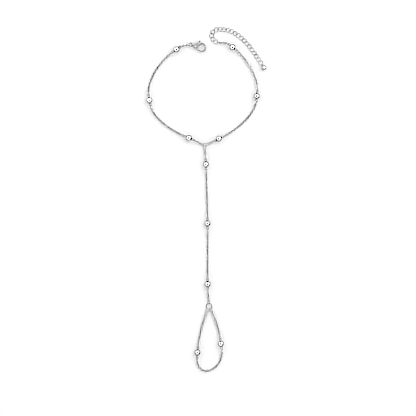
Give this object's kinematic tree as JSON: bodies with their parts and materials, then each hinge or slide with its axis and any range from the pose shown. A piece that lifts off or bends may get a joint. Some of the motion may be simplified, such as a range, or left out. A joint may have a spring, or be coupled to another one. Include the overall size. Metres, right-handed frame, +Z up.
{
  "type": "hand chain bracelet",
  "caption": "Hand chain bracelet: a fine round-link wrist chain with polished balls, lobster clasp and extender, and a hand chain down to a finger loop.",
  "frame": {"origin": "on the surface the bracelet lies on, under the middle of its outline", "axes": "+Y from the finger loop to the clasp, +Z up from the surface, +X to the right with the extender on the right"},
  "size_m": [0.0599, 0.1727, 0.0031],
  "materials": {
    "clasp_metal": "polished silver-tone plating",
    "rivet_metal": "polished silver-tone plating, a little duller",
    "chain_metal": "bright silver-tone wire",
    "ball_metal": "mirror-polished silver-tone plating"
  },
  "bodies": {
    "bracelet": {"clasp_body": "clasp_metal", "clasp_rivet": "rivet_metal", "clasp_ring": "chain_metal", "junction_ring": "chain_metal", "finger_ring": "chain_metal", "wrist_ball_1": "ball_metal", "wrist_ball_2": "ball_metal", "wrist_ball_3": "ball_metal", "wrist_ball_4": "ball_metal", "wrist_ball_5": "ball_metal", "wrist_ball_6": "ball_metal", "hand_ball_1": "ball_metal", "hand_ball_2": "ball_metal", "hand_ball_3": "ball_metal", "finger_ball_1": "ball_metal", "finger_ball_2": "ball_metal", "extender_ball": "ball_metal", "wrist_chain_left": "chain_metal", "wrist_chain_right": "chain_metal", "hand_chain": "chain_metal", "finger_chain": "chain_metal", "extender_chain": "chain_metal"},
    "lever": {"clasp_lever": "clasp_metal"}
  },
  "joints": [
    {"name": "lever_hinge", "type": "hinge", "parent": "bracelet", "child": "lever", "pos_m": [-0.0052, 0.0763, 0.00098], "axis": [0, 0, 1], "range_deg": [0, 25], "stiffness_Nm_per_rad": 0.002, "springref_deg": -20.05}
  ]
}
